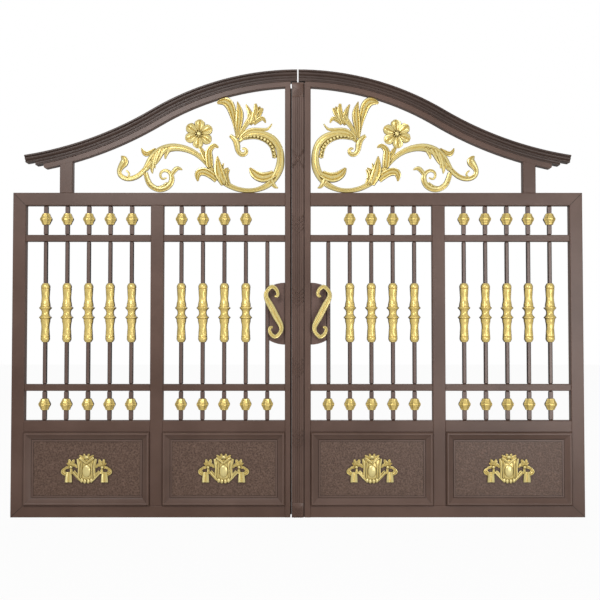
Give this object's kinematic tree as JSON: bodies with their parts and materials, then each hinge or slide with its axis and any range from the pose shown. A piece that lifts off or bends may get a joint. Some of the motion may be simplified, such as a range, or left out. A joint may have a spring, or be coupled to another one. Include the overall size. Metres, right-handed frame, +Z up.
{
  "type": "double-leaf aluminium garden gate",
  "caption": "Double-leaf garden gate with an S-curved crown, scrollwork in the arch, barred middle and framed panels, on wall hinges.",
  "frame": {"origin": "middle of the pillar face of the lower left wall hinge plate", "axes": "+X to the right across the opening, +Y away from the viewer through the gateway, +Z up"},
  "size_m": [3.6, 0.191, 2.805],
  "materials": {
    "brown_coat": "satin brown powder coat on aluminium tube and castings",
    "gold_paint": "pale gold lacquer brushed over cast aluminium",
    "hinge_steel": "brown paint over galvanised steel"
  },
  "bodies": {
    "wall_hinges": {"left_wall_hinges": "hinge_steel", "right_wall_hinges": "hinge_steel"},
    "left_leaf": {"left_outer_stile": "brown_coat", "left_middle_stile": "brown_coat", "left_lock_stile": "brown_coat", "left_top_rail": "brown_coat", "left_bottom_rail": "brown_coat", "left_panel_rails": "brown_coat", "left_lower_bar_rails": "brown_coat", "left_upper_bar_rails": "brown_coat", "left_arch_crown": "brown_coat", "left_arch_rail": "brown_coat", "left_arch_upright": "brown_coat", "left_bars": "brown_coat", "left_knobs": "gold_paint", "left_bar_sleeves": "gold_paint", "left_panels": "brown_coat", "left_panel_mouldings": "brown_coat", "left_crests": "gold_paint", "left_scrollwork": "gold_paint", "left_lock_plate": "brown_coat", "left_handle": "gold_paint", "left_hinge_straps": "hinge_steel"},
    "right_leaf": {"right_outer_stile": "brown_coat", "right_middle_stile": "brown_coat", "right_lock_stile": "brown_coat", "right_top_rail": "brown_coat", "right_bottom_rail": "brown_coat", "right_panel_rails": "brown_coat", "right_lower_bar_rails": "brown_coat", "right_upper_bar_rails": "brown_coat", "right_arch_crown": "brown_coat", "right_arch_rail": "brown_coat", "right_arch_upright": "brown_coat", "right_bars": "brown_coat", "right_knobs": "gold_paint", "right_bar_sleeves": "gold_paint", "right_panels": "brown_coat", "right_panel_mouldings": "brown_coat", "right_crests": "gold_paint", "right_scrollwork": "gold_paint", "right_lock_plate": "brown_coat", "right_handle": "gold_paint", "right_hinge_straps": "hinge_steel", "centre_strip": "brown_coat"}
  },
  "joints": [
    {"name": "left_swing", "type": "hinge", "parent": "wall_hinges", "child": "left_leaf", "pos_m": [0.027, -0.026, 0], "axis": [0, 0, 1], "range_deg": [0, 90]},
    {"name": "right_swing", "type": "hinge", "parent": "wall_hinges", "child": "right_leaf", "pos_m": [3.573, -0.026, 0], "axis": [0, 0, -1], "range_deg": [0, 90]}
  ]
}
